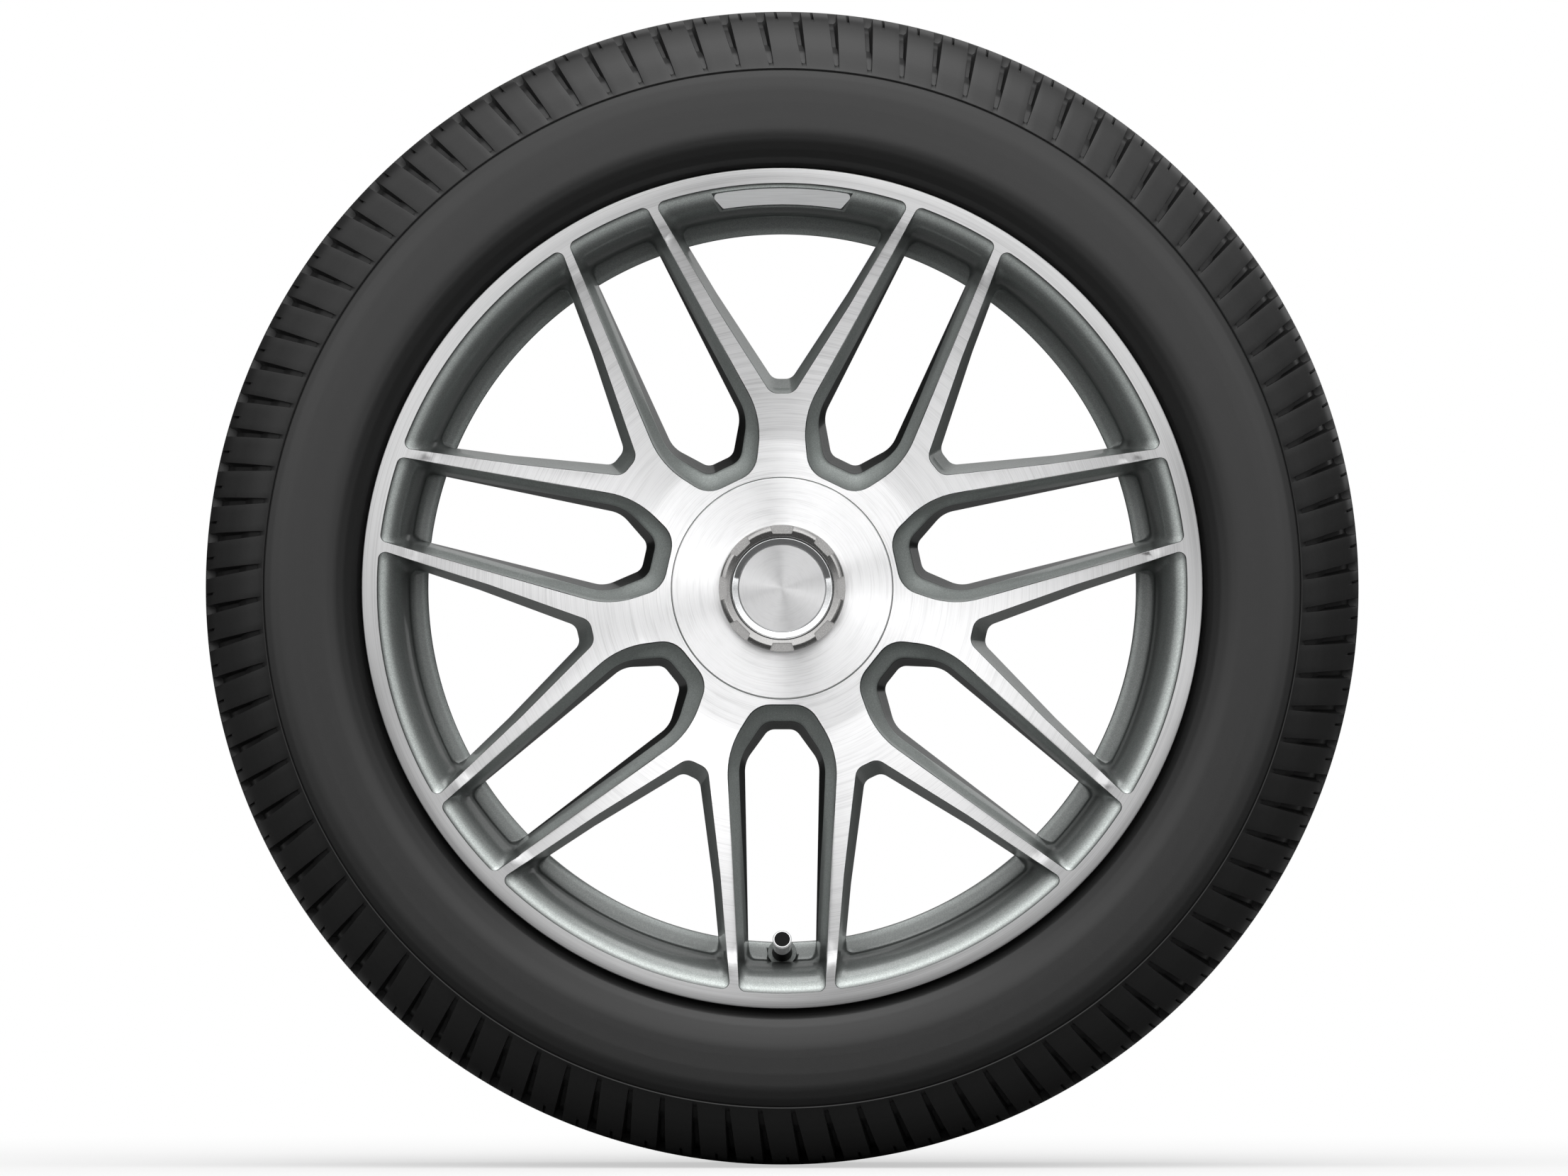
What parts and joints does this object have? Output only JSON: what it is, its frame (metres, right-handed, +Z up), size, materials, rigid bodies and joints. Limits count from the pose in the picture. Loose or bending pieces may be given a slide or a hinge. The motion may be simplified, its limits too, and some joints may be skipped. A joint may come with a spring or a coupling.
{
  "type": "forged car wheel with tyre",
  "caption": "Forged car wheel with slim machined double spokes, its tyre, a round centre cover that pulls off, a valve with a cap, and a bare plaque at the rim.",
  "frame": {"origin": "the wheel's centre: on its axis, midway between the rim's two flanges", "axes": "the wheel spins about Y; +Y points to the car, the outer face looks along -Y, +Z is up"},
  "size_m": [0.7817, 0.2832, 0.7818],
  "materials": {
    "forged_aluminium": "dark grey metallic paint with a lathe-turned bright outer face",
    "tyre_rubber": "matt black moulded rubber",
    "turned_aluminium": "lathe-turned, fine concentric lines",
    "black_plastic": "moulded",
    "spring_steel": "drawn wire",
    "titanium_grey": "satin",
    "chrome": "polished",
    "brushed_plaque": "fine brushed with a dark border",
    "valve_rubber": "moulded",
    "brass": "turned",
    "cap_metal": "satin",
    "weight_steel": "grey coated"
  },
  "bodies": {
    "wheel_and_tyre": {"wheel": "forged_aluminium", "tyre": "tyre_rubber", "rim_plaque": "brushed_plaque", "valve_rubber": "valve_rubber", "valve_stem": "brass", "valve_core_barrel": "brass", "valve_core_spring": "spring_steel", "sensor_housing": "black_plastic", "sensor_screw": "spring_steel", "balance_weights": "weight_steel"},
    "centre_cover": {"cover_face": "turned_aluminium", "cover_carrier": "black_plastic", "cover_retaining_ring": "spring_steel", "cover_nut_ring": "titanium_grey", "cover_bezel": "chrome", "cover_plain_disc": "turned_aluminium"},
    "valve_cap_body": {"valve_cap": "cap_metal", "valve_cap_insert": "black_plastic", "valve_cap_seal": "valve_rubber"},
    "valve_pin_body": {"valve_core_pin": "brass", "valve_core_seal": "valve_rubber"}
  },
  "joints": [
    {"name": "cover_pull", "type": "slide", "parent": "wheel_and_tyre", "child": "centre_cover", "axis": [0, -1, 0], "range_m": [0, 0.075]},
    {"name": "cap_off", "type": "slide", "parent": "wheel_and_tyre", "child": "valve_cap_body", "axis": [0, -0.9397, 0.342], "range_m": [0, 0.05]},
    {"name": "pin_press", "type": "slide", "parent": "wheel_and_tyre", "child": "valve_pin_body", "axis": [0, 0.9397, -0.342], "range_m": [0, 0.0015], "stiffness_N_per_m": 600, "springref_m": -0.003, "deforming": ["valve_core_spring"]}
  ]
}
